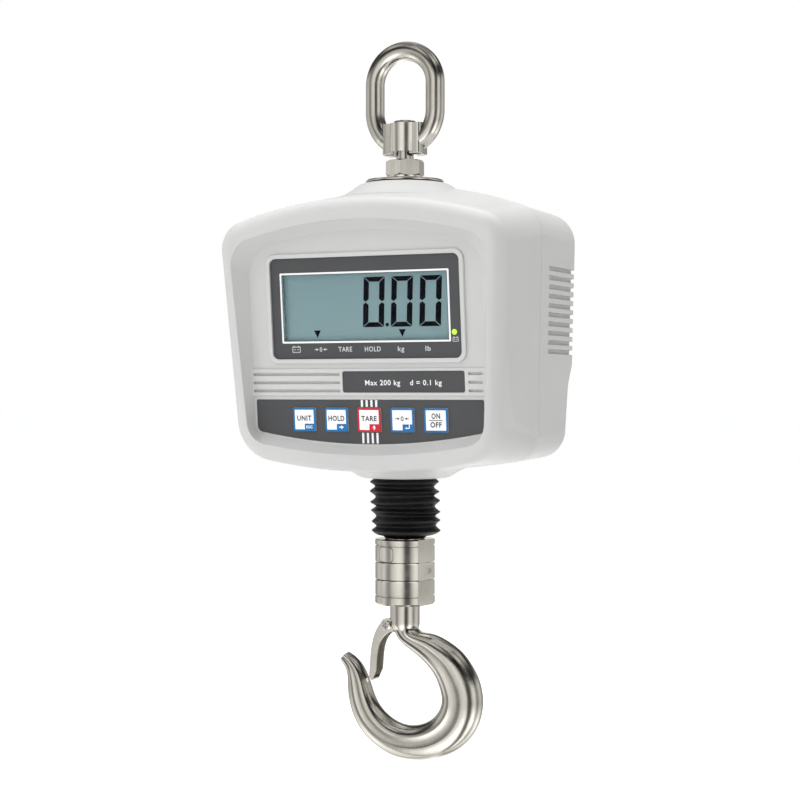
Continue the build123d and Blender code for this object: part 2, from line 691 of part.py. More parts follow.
def hook_section(in_x, in_z, out_x, out_z, half_across):
    """Forged section between its edges: a rounded bead inside, hollow flanks, a round back."""
    middle = Vector((in_x + out_x) / 2, 0, (in_z + out_z) / 2)
    outward = Vector(out_x - in_x, 0, out_z - in_z)
    half = outward.length / 2
    inner, outer = -0.42 * half, 0.20 * half
    waist = half_across * 0.93
    level = (inner + outer) / 2
    section = make_face([
        EllipticalCenterArc((0, inner), half_across, half + inner, start_angle=180, arc_size=180),
        ThreePointArc((half_across, inner), (waist, level), (half_across, outer)),
        EllipticalCenterArc((0, outer), half_across, half - outer, start_angle=0, arc_size=180),
        ThreePointArc((-half_across, outer), (-waist, level), (-half_across, inner)),
    ])
    across = Vector(0, 1, 0)
    return Plane(origin=middle, x_dir=across, z_dir=across.cross(outward)) * section


def hook():
    """Forged hook with a turned stem and a lug for the latch."""
    bow = loft([hook_section(*station) for station in HOOK_STATIONS])
    px, pz = LATCH_PIVOT
    shank = rod(SHANK_R, -145.0, CUP_FLOOR - 0.4) + Pos(0, 0, -145.0) * Sphere(SHANK_R)
    stem = rod(ROD_R, -131.0, -106.0)
    lug = rod_y(4.2, -3.9, 0.5, px, pz) + block(px, px + 6, -3.9, 0.5, pz - 4.2, pz + 4.2)
    solid = bow + shank + stem + lug
    for side in (-1, 1):
        solid -= rod_y(LATCH_EAR_R + 0.9, *sorted((side * 3.9, side * 6.1)), px, pz)
    solid -= rod_y(4.6, 0.5, 4.2, px, pz)
    solid -= rod_y(1.5 + FIT, -30, 30, px, pz)
    return solid - Pos(0, 0, -109.0) * Rot(0, 90, 0) * Cylinder(1.3, 40)


def hook_nut():
    return hexagon(18.8, -121.2, -111.2, 0.0) - rod(ROD_R + FIT, -130, -100)


def split_pin():
    return Pos(0, 0, -109.0) * Rot(0, 90, 0) * Cylinder(1.2, 21)


LATCH_EAR_R = 4.5
LATCH_HALF = 5.5
LATCH_SHEET = 1.2


def latch_profile(shrink=0.0):
    """Side view of the latch: rounded ear at the pivot, slender curved arm, blunt end."""
    px, pz = LATCH_PIVOT
    ear, tip, corner, foot, heel = (
        (px - 4.4, pz + 1.4), (px - 12.5, pz - 33.4), (px - 10.6, pz - 35.4), (px - 7.7, pz - 29.0),
        (px + 2.0, pz - 4.0))
    left = Spline(ear, (px - 8.6, pz - 6.0), (px - 11.3, pz - 18.0), tip)
    right = Spline(foot, (px - 7.0, pz - 20.0), (px - 5.3, pz - 12.0), heel)
    return make_face([left, Line(tip, corner), Line(corner, foot), right, Line(heel, ear)])


def safety_latch():
    """Pressed channel that closes the hook's mouth, open towards the bowl."""
    px, pz = LATCH_PIVOT
    side = Plane.XZ
    arm = extrude(side * latch_profile(), LATCH_HALF, both=True)
    ears = rod_y(LATCH_EAR_R, -LATCH_HALF, LATCH_HALF, px, pz)
    solid = arm + ears
    inner = LATCH_HALF - LATCH_SHEET
    hollow = extrude(side * (Pos(LATCH_SHEET * 1.05, 0.4) * latch_profile()), inner, both=True)
    solid -= hollow + rod_y(LATCH_EAR_R + 1.2, -inner, inner, px + 0.4, pz + 0.4)
    return solid - rod_y(1.5 + FIT, -30, 30, px, pz)


def latch_screw():
    px, pz = LATCH_PIVOT
    head = rod_y(2.9, -LATCH_HALF - 1.9, -LATCH_HALF - 0.15, px, pz)
    head = chamfer(head.edges().sort_by(Axis.Y)[:1], 0.5)
    cross = block(px - 1.7, px + 1.7, -20, -LATCH_HALF - 1.0, pz - 0.4, pz + 0.4)
    cross += block(px - 0.4, px + 0.4, -20, -LATCH_HALF - 1.0, pz - 1.7, pz + 1.7)
    return head - cross + rod_y(1.5, -LATCH_HALF - 0.3, LATCH_HALF + 2.6, px, pz)


def latch_nut():
    px, pz = LATCH_PIVOT
    nut = Pos(px, LATCH_HALF + 2.3, pz) * Rot(90, 0, 0) * extrude(RegularPolygon(3.1, 6), 2.1)
    return nut - rod_y(1.5 + FIT, -30, 30, px, pz)


def latch_spring():
    """Spring coiled around the latch screw, between the lug and the latch's cheek."""
    px, pz = LATCH_PIVOT
    wire = 0.4
    path = Helix(pitch=0.95, height=2.85, radius=2.5)
    coil = sweep(Plane(origin=path @ 0, z_dir=path % 0) * Circle(wire), path=path, is_frenet=True)
    return Pos(px, 3.85, pz) * Rot(90, 0, 0) * coil


# --- write every piece -------------------------------------------------------------------------------
PIECES = {
    "suspension_ring": suspension_ring, "swivel_washer": swivel_washer, "retaining_cap": retaining_cap,
    "swivel_stud": swivel_stud, "lock_nut": lock_nut, "lock_washer": lock_washer,
    "cover_plate": cover_plate, "top_seal": top_seal, "spacer_tube": spacer_tube,
    "load_cell": load_cell, "cell_cable": cell_cable,
    "load_rod": load_rod, "rod_nut": rod_nut, "front_shell": front_shell, "rear_shell": rear_shell,
    "shell_gasket": gasket, "shell_screws": shell_screws, "battery_door": battery_door,
    "door_screws": door_screws, "battery_cells": battery_pack, "charge_socket": charge_socket,
    "socket_nut": socket_nut, "display_overlay": display_overlay, "display_window": display_window,
    "lcd_glass": lcd_glass, "lcd_backlight": lcd_backlight, "display_board": display_board,
    "status_led": status_led, "capacity_plate": capacity_plate, "keypad_overlay": keypad_overlay,
    "keypad_board": keypad_board, "key_switches": key_switches, "board_spacers": board_spacers,
    "main_board": main_board, "board_parts": board_parts, "buzzer": buzzer, "ribbon_cable": ribbon_cable,
    "bellows": bellows, "coupling_sleeve": coupling_sleeve, "keeper_plate": keeper_plate,
    "cross_pin": cross_pin, "lock_ring": lock_ring, "set_screw": set_screw, "bearing_cup": bearing_cup,
    "bearing_balls": bearing_balls, "hook": hook, "hook_nut": hook_nut, "split_pin": split_pin,
    "safety_latch": safety_latch, "latch_screw": latch_screw, "latch_nut": latch_nut,
    "latch_spring": latch_spring,
}
for name, make in PIECES.items():
    save(make(), name)
save(race(CUP_FLOOR + 0.05, BALL_Z - 1.2, ROD_R + 0.4), "bearing_lower_race")
save(race(BALL_Z + 1.2, -121.25, ROD_R + FIT), "bearing_upper_race")
for name, x in zip(KEYS, key_places()):
    save(key_cap(x), name)
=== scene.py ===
"""Looks of the hanging crane scale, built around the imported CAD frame.  Blender 4.5, metres, +Z up."""
import json
import math

import bmesh
import bpy
from mathutils import Matrix, Vector


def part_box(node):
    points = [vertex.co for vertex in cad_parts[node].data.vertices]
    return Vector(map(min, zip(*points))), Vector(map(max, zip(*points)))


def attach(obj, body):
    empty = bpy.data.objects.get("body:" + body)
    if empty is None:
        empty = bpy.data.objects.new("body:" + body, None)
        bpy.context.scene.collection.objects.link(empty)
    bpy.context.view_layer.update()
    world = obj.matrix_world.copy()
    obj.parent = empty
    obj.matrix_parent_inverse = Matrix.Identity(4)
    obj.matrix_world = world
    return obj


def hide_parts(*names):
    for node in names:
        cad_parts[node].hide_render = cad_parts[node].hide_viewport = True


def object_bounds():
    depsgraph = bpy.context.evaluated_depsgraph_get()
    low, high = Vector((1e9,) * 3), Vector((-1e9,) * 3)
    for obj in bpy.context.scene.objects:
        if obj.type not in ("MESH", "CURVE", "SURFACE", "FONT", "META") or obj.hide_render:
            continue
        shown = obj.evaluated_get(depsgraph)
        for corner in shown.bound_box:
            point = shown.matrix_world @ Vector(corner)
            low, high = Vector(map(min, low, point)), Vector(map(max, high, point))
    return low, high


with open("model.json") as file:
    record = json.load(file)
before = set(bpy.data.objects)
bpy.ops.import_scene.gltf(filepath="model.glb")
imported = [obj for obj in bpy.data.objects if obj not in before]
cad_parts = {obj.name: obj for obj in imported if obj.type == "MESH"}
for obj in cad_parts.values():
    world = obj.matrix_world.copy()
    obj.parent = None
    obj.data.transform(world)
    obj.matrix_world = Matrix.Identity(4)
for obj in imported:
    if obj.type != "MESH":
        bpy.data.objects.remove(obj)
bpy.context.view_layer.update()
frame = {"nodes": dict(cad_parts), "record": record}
NODES = frame["nodes"]
MM = 0.001

# --- the tilted front panel in the frame's metres ----------------------------------------------------
CROWN = 0.209            # height of the ring's inner crown, the frame's origin, above the housing datum
TILT = math.radians(5.2)  # how far the panel leans forward at its top
PANEL_Y = -0.05475       # depth of the panel at the datum
PANEL_X = Vector((1, 0, 0))
PANEL_UP = Vector((0, -math.sin(TILT), math.cos(TILT)))
PANEL_OUT = Vector((0, -math.cos(TILT), -math.sin(TILT)))
PANEL_ORIGIN = Vector((0, PANEL_Y, -CROWN))
PANEL_MATRIX = Matrix((
    (PANEL_X.x, PANEL_UP.x, PANEL_OUT.x, PANEL_ORIGIN.x),
    (PANEL_X.y, PANEL_UP.y, PANEL_OUT.y, PANEL_ORIGIN.y),
    (PANEL_X.z, PANEL_UP.z, PANEL_OUT.z, PANEL_ORIGIN.z),
    (0, 0, 0, 1)))


# --- camera, light, floor ----------------------------------------------------------------------------
VIEW_AZIMUTH = math.radians(25.0)
VIEW_DISTANCE = 1.136
VIEW_HEIGHT = -CROWN
TARGET = (0, 0, -0.21)   # the lights point at the middle of the scale
FLOOR_GAP = 0.12         # from the hook's bottom down to the floor
FLOOR_HALF = 25.0

# Soft bands that glossy surfaces pick up: place and brightness, round the compass and from below to above.
BANDS_AROUND = [(0.0, 0.55), (0.063, 0.88), (0.11, 0.45), (0.145, 0.28), (0.20, 0.80), (0.256, 1.15),
                (0.306, 1.05), (0.345, 0.10), (0.385, 0.14), (0.402, 0.42), (0.435, 1.00), (0.465, 1.10),
                (0.52, 0.30), (0.60, 0.90), (0.70, 0.25), (0.78, 1.05), (0.88, 0.35), (0.96, 0.75)]
BANDS_UPWARDS = [(0.0, 0.7), (0.16, 1.5), (0.30, 2.2), (0.40, 1.3), (0.46, 0.9), (0.55, 1.0),
                 (0.64, 0.9), (0.72, 0.08), (0.80, 0.1), (0.86, 0.9), (0.93, 0.4), (1.0, 0.7)]


def set_view():
    """Plain display transform, so that white paper renders white."""
    view = bpy.context.scene.view_settings
    view.view_transform = "Standard"
    view.look = "None"


def add_camera():
    data = bpy.data.cameras.new("camera")
    data.sensor_width = 36.0
    data.lens = 81.0
    data.shift_x = -0.00625
    data.shift_y = -0.01
    camera = bpy.data.objects.new("camera", data)
    x, y = VIEW_DISTANCE * math.sin(VIEW_AZIMUTH), -VIEW_DISTANCE * math.cos(VIEW_AZIMUTH)
    camera.location = (x, y, VIEW_HEIGHT)
    camera.rotation_euler = (math.radians(90), 0, VIEW_AZIMUTH)
    bpy.context.scene.collection.objects.link(camera)
    bpy.context.scene.camera = camera


def add_light(name, place, size, power):
    """Soft box that lights the matt surfaces; the glossy ones mirror the world's bands instead."""
    data = bpy.data.lights.new(name, "AREA")
    data.shape = "RECTANGLE"
    data.size, data.size_y = size
    data.energy = power
    light = bpy.data.objects.new(name, data)
    light.location = place
    light.rotation_euler = (Vector(TARGET) - Vector(place)).to_track_quat("-Z", "Y").to_euler()
    light.visible_glossy = False
    bpy.context.scene.collection.objects.link(light)


def background(tree, strength, colour=None):
    made = tree.nodes.new("ShaderNodeBackground")
    made.inputs["Strength"].default_value = strength
    if colour:
        made.inputs["Color"].default_value = colour
    return made


def studio_bands(tree):
    """Grey bands round the compass, darkened by bands from below to above, a little warped."""
    coords = tree.nodes.new("ShaderNodeTexCoord")
    wander = node(tree, "ShaderNodeTexNoise", Scale=2.6, Detail=1.0)
    warp = tree.nodes.new("ShaderNodeMix")
    warp.data_type = "VECTOR"
    warp.inputs["Factor"].default_value = 0.16
    tree.links.new(coords.outputs["Generated"], wander.inputs["Vector"])
    tree.links.new(coords.outputs["Generated"], warp.inputs["A"])
    tree.links.new(wander.outputs["Color"], warp.inputs["B"])
    around = tree.nodes.new("ShaderNodeTexGradient")
    around.gradient_type = "RADIAL"
    tree.links.new(warp.outputs["Result"], around.inputs["Vector"])
    sides = ramp_node(tree, around.outputs["Fac"],
                      [(place, (tone, tone * 0.985, tone * 0.94, 1)) for place, tone in BANDS_AROUND])
    split = tree.nodes.new("ShaderNodeSeparateXYZ")
    tree.links.new(warp.outputs["Result"], split.inputs["Vector"])
    lift = node(tree, "ShaderNodeMapRange", From_Min=-1.0, From_Max=1.0)
    tree.links.new(split.outputs["Z"], lift.inputs["Value"])
    levels = ramp_node(tree, lift.outputs["Result"], BANDS_UPWARDS)
    both = tree.nodes.new("ShaderNodeMix")
    both.data_type = "RGBA"
    both.blend_type = "MULTIPLY"
    both.inputs["Factor"].default_value = 1.0
    tree.links.new(sides.outputs["Color"], both.inputs["A"])
    tree.links.new(levels.outputs["Color"], both.inputs["B"])
    return both.outputs["Result"]


def choose(tree, ray, otherwise, chosen):
    """Shader that is the chosen one for one kind of ray."""
    rays = tree.nodes.new("ShaderNodeLightPath")
    made = tree.nodes.new("ShaderNodeMixShader")
    tree.links.new(rays.outputs[ray], made.inputs["Fac"])
    tree.links.new(otherwise, made.inputs[1])
    tree.links.new(chosen, made.inputs[2])
    return made.outputs["Shader"]


def add_world():
    """White surroundings that light evenly; glossy surfaces pick up the bands of a studio."""
    world = bpy.data.worlds.new("studio")
    bpy.context.scene.world = world
    world.use_nodes = True
    tree = world.node_tree
    tree.nodes.clear()
    out = tree.nodes.new("ShaderNodeOutputWorld")
    even = background(tree, 0.60, (0.985, 0.99, 1.0, 1))
    white = background(tree, 1.0, (1.0, 1.0, 1.0, 1))
    bands = background(tree, 1.0)
    tree.links.new(studio_bands(tree), bands.inputs["Color"])
    lighting = choose(tree, "Is Glossy Ray", even.outputs["Background"], bands.outputs["Background"])
    seen = choose(tree, "Is Camera Ray", lighting, white.outputs["Background"])
    tree.links.new(seen, out.inputs["Surface"])


def add_floor():
    """White paper that melts into the white background."""
    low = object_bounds()[0].z - FLOOR_GAP
    corners = [(x * FLOOR_HALF, y * FLOOR_HALF, low) for x, y in ((-1, -1), (1, -1), (1, 1), (-1, 1))]
    mesh = bpy.data.meshes.new("floor")
    mesh.from_pydata(corners, [], [(0, 1, 2, 3)])
    floor = bpy.data.objects.new("floor", mesh)
    bpy.context.scene.collection.objects.link(floor)
    material, shader, tree = new_material("floor_paper")
    patch = noise_node(tree, 2.0, 2.0)
    tone = ramp_node(tree, patch.outputs["Fac"], [(0.3, 0.93), (0.7, 0.95)])
    tree.links.new(tone.outputs["Color"], shader.inputs["Base Color"])
    shader.inputs["Roughness"].default_value = 0.95
    shader.inputs["Specular IOR Level"].default_value = 0.1
    shader.inputs["Emission Color"].default_value = (1, 1, 1, 1)
    rays = tree.nodes.new("ShaderNodeLightPath")
    glow = ramp_node(tree, rays.outputs["Is Camera Ray"], [(0.0, 0.0), (1.0, 0.45)])
    tree.links.new(glow.outputs["Color"], shader.inputs["Emission Strength"])
    mesh.materials.append(material)
    floor.visible_glossy = False


# --- material helpers --------------------------------------------------------------------------------
def new_material(name):
    material = bpy.data.materials.new(name)
    material.use_nodes = True
    tree = material.node_tree
    return material, tree.nodes["Principled BSDF"], tree


def node(tree, kind, **inputs):
    made = tree.nodes.new(kind)
    for key, value in inputs.items():
        made.inputs[key.replace("_", " ")].default_value = value
    return made


def noise_node(tree, scale, detail=3.0, stretch=None):
    """Noise in object space; stretch squeezes it along the axes to make streaks."""
    coords = tree.nodes.new("ShaderNodeTexCoord")
    made = node(tree, "ShaderNodeTexNoise", Scale=scale, Detail=detail, Roughness=0.5)
    if stretch:
        mapping = tree.nodes.new("ShaderNodeMapping")
        mapping.inputs["Scale"].default_value = stretch
        tree.links.new(coords.outputs["Object"], mapping.inputs["Vector"])
        tree.links.new(mapping.outputs["Vector"], made.inputs["Vector"])
    else:
        tree.links.new(coords.outputs["Object"], made.inputs["Vector"])
    return made


def ramp_node(tree, source, stops):
    """Colour ramp with (position, colour or grey) stops, fed by a factor output."""
    ramp = tree.nodes.new("ShaderNodeValToRGB")
    elements = ramp.color_ramp.elements
    for i, (position, colour) in enumerate(stops):
        element = elements[i] if i < 2 else elements.new(position)
        element.position = position
        element.color = colour if isinstance(colour, tuple) else (colour, colour, colour, 1)
    tree.links.new(source, ramp.inputs["Fac"])
    return ramp


def add_bump(tree, shader, source, strength, distance, edge=0.0):
    """Bump from a height; edge is a radius in metres over which sharp edges look rounded."""
    bump = node(tree, "ShaderNodeBump", Strength=strength, Distance=distance)
    if edge:
        bevel = node(tree, "ShaderNodeBevel", Radius=edge)
        bevel.samples = 4
        tree.links.new(bevel.outputs["Normal"], bump.inputs["Normal"])
    tree.links.new(source, bump.inputs["Height"])
    tree.links.new(bump.outputs["Normal"], shader.inputs["Normal"])
    return bump


def edge_highlight_mask(tree, low=0.53, high=0.60):
    """Mask for painted edge highlights: bright only along sharp outward edges."""
    geometry = tree.nodes.new("ShaderNodeNewGeometry")
    return ramp_node(tree, geometry.outputs["Pointiness"], [(low, 0.0), (high, 1.0)])


def shade(colour, factor):
    """Colour made darker or lighter, with its alpha added."""
    return tuple(min(channel * factor, 1) for channel in colour) + (1,)


def mix_colours(tree, factor, first, second):
    mix = tree.nodes.new("ShaderNodeMix")
    mix.data_type = "RGBA"
    tree.links.new(factor, mix.inputs["Factor"])
    for slot, value in (("A", first), ("B", second)):
        socket = [s for s in mix.inputs if s.name == slot and s.type == "RGBA"][0]
        if isinstance(value, tuple):
            socket.default_value = value
        else:
            tree.links.new(value, socket)
    return [s for s in mix.outputs if s.type == "RGBA"][0]


# --- materials ---------------------------------------------------------------------------------------
def moulded_plastic(name, colour, roughness=0.42, grain=2600.0, depth=0.00003):
    """Moulded plastic: fine spark-eroded grain, faint blotches, and a painted highlight that makes its edges
    lighter.
    """
    edge_highlight_lift, speckle = 0.04, 0.02
    material, shader, tree = new_material(name)
    r, g, b = colour
    blotch = noise_node(tree, 14.0, 4.0)
    dark = (r * (1 - speckle * 1.6), g * (1 - speckle * 1.6), b * (1 - speckle * 1.3), 1)
    base = ramp_node(tree, blotch.outputs["Fac"], [(0.30, dark), (0.70, shade(colour, 1 + speckle))])
    # Painted highlight: the sharp edges are made lighter than the body colour.
    edge_highlight_colour = (min(r + edge_highlight_lift, 1), min(g + edge_highlight_lift, 1), min(b + edge_highlight_lift, 1), 1)
    with_edge_highlight = mix_colours(tree, edge_highlight_mask(tree).outputs["Color"], base.outputs["Color"], edge_highlight_colour)
    tree.links.new(with_edge_highlight, shader.inputs["Base Color"])
    smear = noise_node(tree, 45.0, 5.0)
    rough = ramp_node(tree, smear.outputs["Fac"], [(0.25, roughness - 0.06), (0.75, roughness + 0.08)])
    tree.links.new(rough.outputs["Color"], shader.inputs["Roughness"])
    fine = noise_node(tree, grain, 2.0)
    add_bump(tree, shader, fine.outputs["Fac"], 0.35, depth, 0.0004)
    shader.inputs["Specular IOR Level"].default_value = 0.5
    return material


def stainless(name, colour=(0.66, 0.645, 0.61), roughness=0.13, stretch=(1.0, 1.0, 1.0), scratch=0.5):
    """Polished stainless steel: slow waviness from hand polishing, hairlines, smudges, and painted highlights
    that make its edges brighter.
    """
    material, shader, tree = new_material(name)
    r, g, b = colour
    shader.inputs["Metallic"].default_value = 1.0
    tone = noise_node(tree, 60.0, 4.0)
    dark = (r * 0.86, g * 0.85, b * 0.83, 1)
    base = ramp_node(tree, tone.outputs["Fac"], [(0.3, dark), (0.7, shade(colour, 1))])
    # Painted highlight: the sharp edges are made brighter than the steel around them.
    mask = edge_highlight_mask(tree, 0.52, 0.62)
    with_edge_highlight = mix_colours(tree, mask.outputs["Color"], base.outputs["Color"], shade(colour, 1.18))
    tree.links.new(with_edge_highlight, shader.inputs["Base Color"])
    smudge = noise_node(tree, 110.0, 6.0)
    rough = ramp_node(tree, smudge.outputs["Fac"], [(0.35, roughness * 0.75), (0.72, roughness * 1.9)])
    tree.links.new(rough.outputs["Color"], shader.inputs["Roughness"])
    hairline = noise_node(tree, 900.0, 3.0, stretch)
    lines = add_bump(tree, shader, hairline.outputs["Fac"], scratch, 0.000012)
    wave = noise_node(tree, 38.0, 2.0)
    slow = node(tree, "ShaderNodeBump", Strength=0.6, Distance=0.00035)
    tree.links.new(wave.outputs["Fac"], slow.inputs["Height"])
    tree.links.new(slow.outputs["Normal"], lines.inputs["Normal"])
    return material


def printed_film(name, colour, roughness=0.34):
    """Screen-printed film: nearly even colour, fine satin texture, faint wipe marks."""
    material, shader, tree = new_material(name)
    blotch = noise_node(tree, 30.0, 3.0)
    base = ramp_node(tree, blotch.outputs["Fac"], [(0.3, shade(colour, 0.95)), (0.7, shade(colour, 1.05))])
    tree.links.new(base.outputs["Color"], shader.inputs["Base Color"])
    wipe = noise_node(tree, 40.0, 4.0, (1.0, 1.0, 6.0))
    rough = ramp_node(tree, wipe.outputs["Fac"], [(0.3, roughness - 0.05), (0.75, roughness + 0.1)])
    tree.links.new(rough.outputs["Color"], shader.inputs["Roughness"])
    fine = noise_node(tree, 4200.0, 1.0)
    add_bump(tree, shader, fine.outputs["Fac"], 0.2, 0.00001)
    return material


def rubber(name, colour=(0.0055, 0.005, 0.0055), roughness=0.42):
    """Black rubber with a dusty bloom, and ridges made lighter by dust and by a painted sheen."""
    material, shader, tree = new_material(name)
    shader.inputs["Specular IOR Level"].default_value = 0.28
    bloom = noise_node(tree, 70.0, 5.0)
    base = ramp_node(tree, bloom.outputs["Fac"], [(0.4, shade(colour, 1)), (0.8, shade(colour, 2.2))])
    # Dust and painted sheen: the ridges are made lighter than the rubber.
    mask = edge_highlight_mask(tree, 0.52, 0.60)
    dust_and_sheen = mix_colours(tree, mask.outputs["Color"], base.outputs["Color"], shade(colour, 4.0))
    tree.links.new(dust_and_sheen, shader.inputs["Base Color"])
    patch = noise_node(tree, 150.0, 4.0)
    rough = ramp_node(tree, patch.outputs["Fac"], [(0.3, roughness - 0.12), (0.7, roughness + 0.12)])
    tree.links.new(rough.outputs["Color"], shader.inputs["Roughness"])
    fine = noise_node(tree, 1500.0, 3.0)
    add_bump(tree, shader, fine.outputs["Fac"], 0.4, 0.00003)
    return material


def lcd_face(name, colour=(0.262, 0.402, 0.43)):
    """Reflective liquid crystal ground: grey-green, with a faint pixel grain and painted shade that makes it
    darker towards the top.
    """
    material, shader, tree = new_material(name)
    r, g, b = colour
    coords = tree.nodes.new("ShaderNodeTexCoord")
    split = tree.nodes.new("ShaderNodeSeparateXYZ")
    tree.links.new(coords.outputs["Object"], split.inputs["Vector"])
    # Painted shade: lighter at the foot, darker at the head.
    painted_shade_height = node(tree, "ShaderNodeMapRange", From_Min=-CROWN + 0.028, From_Max=-CROWN + 0.075)
    tree.links.new(split.outputs["Z"], painted_shade_height.inputs["Value"])
    foot, head = (r * 1.08, g * 1.06, b * 1.05, 1), (r * 0.93, g * 0.94, b * 0.95, 1)
    base = ramp_node(tree, painted_shade_height.outputs["Result"], [(0.0, foot), (1.0, head)])
    tree.links.new(base.outputs["Color"], shader.inputs["Base Color"])
    grain = noise_node(tree, 3000.0, 2.0)
    rough = ramp_node(tree, grain.outputs["Fac"], [(0.3, 0.32), (0.7, 0.45)])
    tree.links.new(rough.outputs["Color"], shader.inputs["Roughness"])
    add_bump(tree, shader, grain.outputs["Fac"], 0.12, 0.00001)
    return material


def clear_sheet(name):
    """Thin clear acrylic: almost invisible, with a soft surface reflection."""
    material, shader, tree = new_material(name)
    shader.inputs["Base Color"].default_value = (0.97, 0.99, 0.99, 1)
    shader.inputs["Transmission Weight"].default_value = 1.0
    shader.inputs["IOR"].default_value = 1.12
    smear = noise_node(tree, 60.0, 4.0)
    rough = ramp_node(tree, smear.outputs["Fac"], [(0.3, 0.02), (0.8, 0.07)])
    tree.links.new(rough.outputs["Color"], shader.inputs["Roughness"])
    return material


def printed_ink(name, colour, roughness=0.45, glow=0.0, shine=0.4):
    """Even ink or tinted plastic, which can glow a little."""
    material, shader, tree = new_material(name)
    shader.inputs["Specular IOR Level"].default_value = shine
    patch = noise_node(tree, 900.0, 2.0)
    base = ramp_node(tree, patch.outputs["Fac"], [(0.3, shade(colour, 0.96)), (0.7, shade(colour, 1))])
    tree.links.new(base.outputs["Color"], shader.inputs["Base Color"])
    rough = ramp_node(tree, patch.outputs["Fac"], [(0.3, roughness - 0.04), (0.7, roughness + 0.06)])
    tree.links.new(rough.outputs["Color"], shader.inputs["Roughness"])
    if glow:
        shader.inputs["Emission Color"].default_value = shade(colour, 1)
        shader.inputs["Emission Strength"].default_value = glow
    return material


set_view()
add_camera()
add_world()
add_floor()
add_light("upper_left", (-1.3, -0.8, 0.7), (0.9, 0.9), 6.5)
add_light("overhead", (0.1, 0.3, 1.3), (1.4, 1.2), 24.0)
add_light("high_front", (0.0, -0.9, 1.3), (0.9, 0.9), 5.0)
add_light("low_left_front", (-1.2, -1.2, 0.0), (0.9, 0.9), 3.2)
add_light("front", (0.3, -1.5, 0.1), (0.9, 0.9), 1.5)

HOUSING = moulded_plastic("housing_plastic", (0.585, 0.585, 0.575))
STEEL = stainless("polished_steel")
STEEL_TURNED = stainless("turned_steel", stretch=(0.05, 0.05, 6.0), scratch=0.8)
DULL_STEEL = stainless("dull_steel", (0.52, 0.50, 0.47), 0.3)
FILM = printed_film("overlay_film", (0.064, 0.0655, 0.0695))
RUBBER = rubber("black_rubber")
LCD = lcd_face("lcd")
CLEAR = clear_sheet("clear_window")
KEY_WHITE = moulded_plastic("key_plastic", (0.97, 0.975, 0.97), 0.3, 3500.0, 0.00001)
BOARD = moulded_plastic("board", (0.02, 0.16, 0.06), 0.35)
DARK = moulded_plastic("dark_plastic", (0.02, 0.02, 0.022), 0.4)
WHITE = moulded_plastic("white_plastic", (0.78, 0.78, 0.76), 0.45)
LED = printed_ink("led_lens", (0.46, 0.74, 0.05), 0.2, 0.7)
ALUMINIUM = stainless("aluminium", (0.78, 0.78, 0.77), 0.3)
BRONZE = stainless("bronze", (0.62, 0.42, 0.18), 0.3)
CABLE = rubber("cable_grey", (0.08, 0.08, 0.085))
WRAP = moulded_plastic("battery_wrap", (0.05, 0.13, 0.09), 0.3)
INK_WHITE = printed_ink("ink_white", (0.93, 0.94, 0.94))
INK_GREY = printed_ink("ink_grey", (0.66, 0.67, 0.67))
INK_BLUE = printed_ink("ink_blue", (0.008, 0.165, 0.44))
INK_RED = printed_ink("ink_red", (0.62, 0.012, 0.03))
INK_DARK = printed_ink("ink_dark", (0.05, 0.05, 0.055))
SEGMENT = printed_ink("lcd_segment", (0.003, 0.003, 0.008), 0.6, shine=0.05)

SLOT_MATERIALS = {
    "polished_steel": STEEL, "zinc_steel": DULL_STEEL, "housing_plastic": HOUSING, "overlay_film": FILM,
    "clear_window": CLEAR, "lcd": LCD, "key_plastic": KEY_WHITE, "black_rubber": RUBBER, "board": BOARD,
    "dark_plastic": DARK, "white_plastic": WHITE, "led_lens": LED, "aluminium": ALUMINIUM, "bronze": BRONZE,
    "cable_grey": CABLE, "battery_wrap": WRAP, "spring_steel": DULL_STEEL,
}
TURNED = ("coupling_sleeve", "lock_ring", "bearing_cup", "lock_washer", "cover_plate")


def paint_frame():
    """Gives every CAD node the material of its slot, and the turned steel pieces theirs."""
    for part in frame["record"]["subparts"]:
        name = part["node"]
        material = STEEL_TURNED if name in TURNED else SLOT_MATERIALS[part["material_slot"]]
        for entry in NODES[name].material_slots:
            entry.material = material


paint_frame()

# --- printing: millimetres on the panel, X to the right, Y up from the datum, level outwards ---------
THIN = 0.04              # thickness of ink
SEGMENT_THICK = 0.03     # thickness of the liquid crystal's segments
LABEL_FACE = -0.1        # front of the display and keypad films
PLATE_FACE = 0.65        # front of the capacity plate
LCD_FACE = -3.1          # front of the liquid crystal
KEY_FACE = 0.85          # front of the keys
KEY_PITCH, KEY_HEIGHT, KEY_SHIFT = 22.1, -16.9, 1.25
KEY_HALF = (7.64, 7.19)  # half width and half height of a key's printed border
BORDER = 1.14            # width of that border
KEY_NODES = ["key_unit", "key_hold", "key_tare", "key_zero", "key_power"]
LEGEND_Y = 26.0          # height of the row of legends under the display
CAPITAL = 0.69           # height of the built-in font's capitals at size 1
BOLD = 0.03              # how far the strokes of the keys' lettering are thickened, at size 1


def new_piece(name, mesh_data, material, body, matrix=None):
    """Links a mesh as a visible piece that rides on a body."""
    mesh = bpy.data.meshes.new(name)
    verts, faces = mesh_data
    mesh.from_pydata(verts, [], faces)
    if matrix:
        mesh.transform(matrix @ Matrix.Scale(MM, 4))
    bm = bmesh.new()
    bm.from_mesh(mesh)
    bmesh.ops.recalc_face_normals(bm, faces=bm.faces)
    bm.to_mesh(mesh)
    bm.free()
    mesh.materials.append(material)
    piece = bpy.data.objects.new(name, mesh)
    bpy.context.scene.collection.objects.link(piece)
    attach(piece, body)
    return piece


def gather(*parts):
    """Joins (vertices, faces) pairs into one."""
    verts, faces = [], []
    for more_verts, more_faces in parts:
        start = len(verts)
        verts += more_verts
        faces += [tuple(i + start for i in face) for face in more_faces]
    return verts, faces


